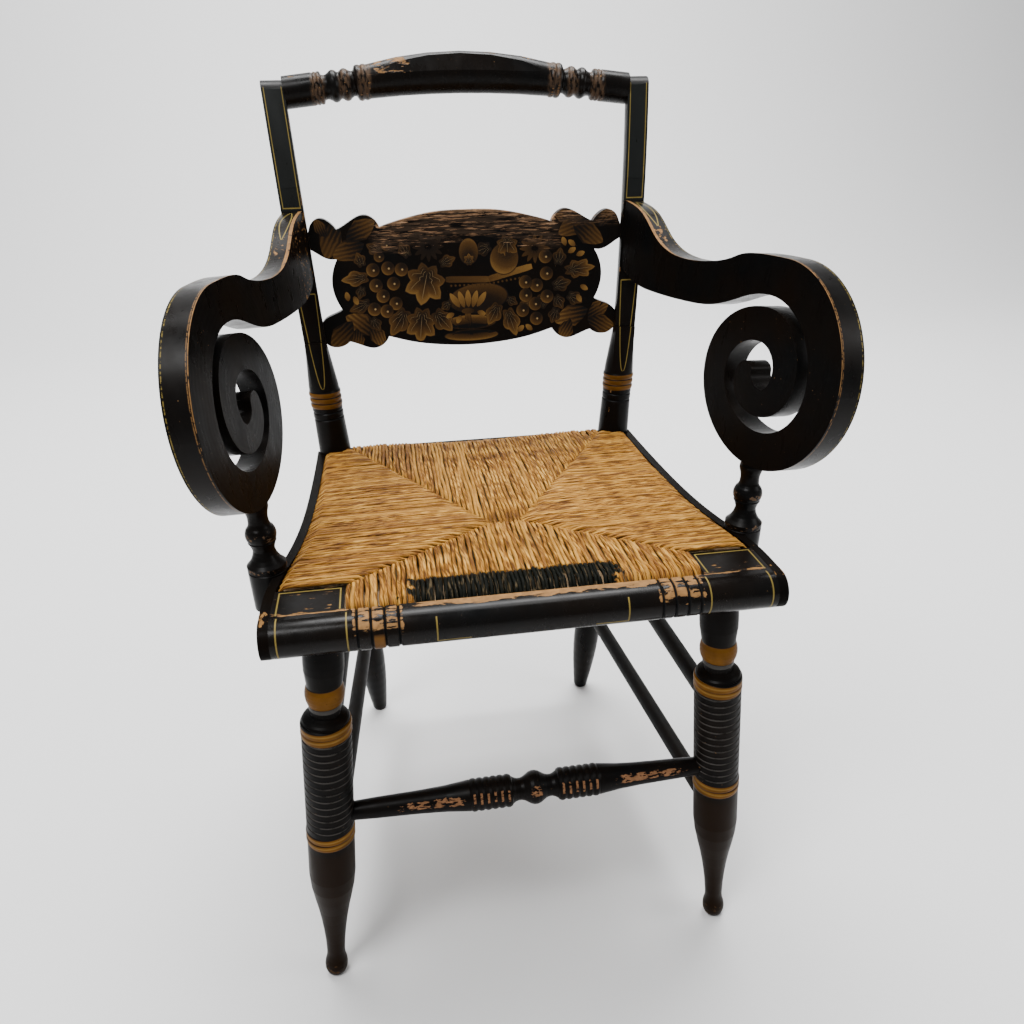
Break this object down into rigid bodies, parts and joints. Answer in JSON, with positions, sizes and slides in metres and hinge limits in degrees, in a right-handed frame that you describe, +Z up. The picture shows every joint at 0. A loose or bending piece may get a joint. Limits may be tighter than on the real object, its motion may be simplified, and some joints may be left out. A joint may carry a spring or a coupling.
{
  "type": "painted armchair with a rush seat",
  "caption": "Turned and black-painted fancy armchair with volute arms, a stencilled turtle-back slat, an arched crest rail and a rush seat.",
  "frame": {"origin": "on the floor, under the middle of the chair's bounding box", "axes": "+Z up, the sitter faces -Y, +X is the side on the right of somebody who looks at the chair's front"},
  "size_m": [0.5078, 0.4775, 0.8674],
  "materials": {
    "black_paint": "satin black paint with gilt lines, bands and stencils, worn at the edges",
    "bare_wood": "bare hardwood",
    "rush": "twisted natural rush, dry",
    "stuffing": "loose rush ends"
  },
  "bodies": {
    "root": {"crest_rail": "black_paint", "back_slat": "black_paint", "front_stretcher": "black_paint", "rear_stretcher": "black_paint", "front_seat_rail": "bare_wood", "rear_seat_rail": "bare_wood", "front_roll": "black_paint", "rear_strip": "black_paint", "rush_seat": "rush", "seat_stuffing": "stuffing", "right_back_post": "black_paint", "left_back_post": "black_paint", "right_front_leg": "black_paint", "left_front_leg": "black_paint", "right_arm": "black_paint", "left_arm": "black_paint", "right_arm_post": "black_paint", "left_arm_post": "black_paint", "right_arm_dowel": "bare_wood", "left_arm_dowel": "bare_wood", "right_arm_post_peg": "bare_wood", "left_arm_post_peg": "bare_wood", "right_lower_side_stretcher": "black_paint", "left_lower_side_stretcher": "black_paint", "right_upper_side_stretcher": "black_paint", "left_upper_side_stretcher": "black_paint", "right_corner_block": "black_paint", "left_corner_block": "black_paint", "right_side_seat_rail": "bare_wood", "left_side_seat_rail": "bare_wood", "right_side_strip": "black_paint", "left_side_strip": "black_paint"}
  },
  "joints": []
}
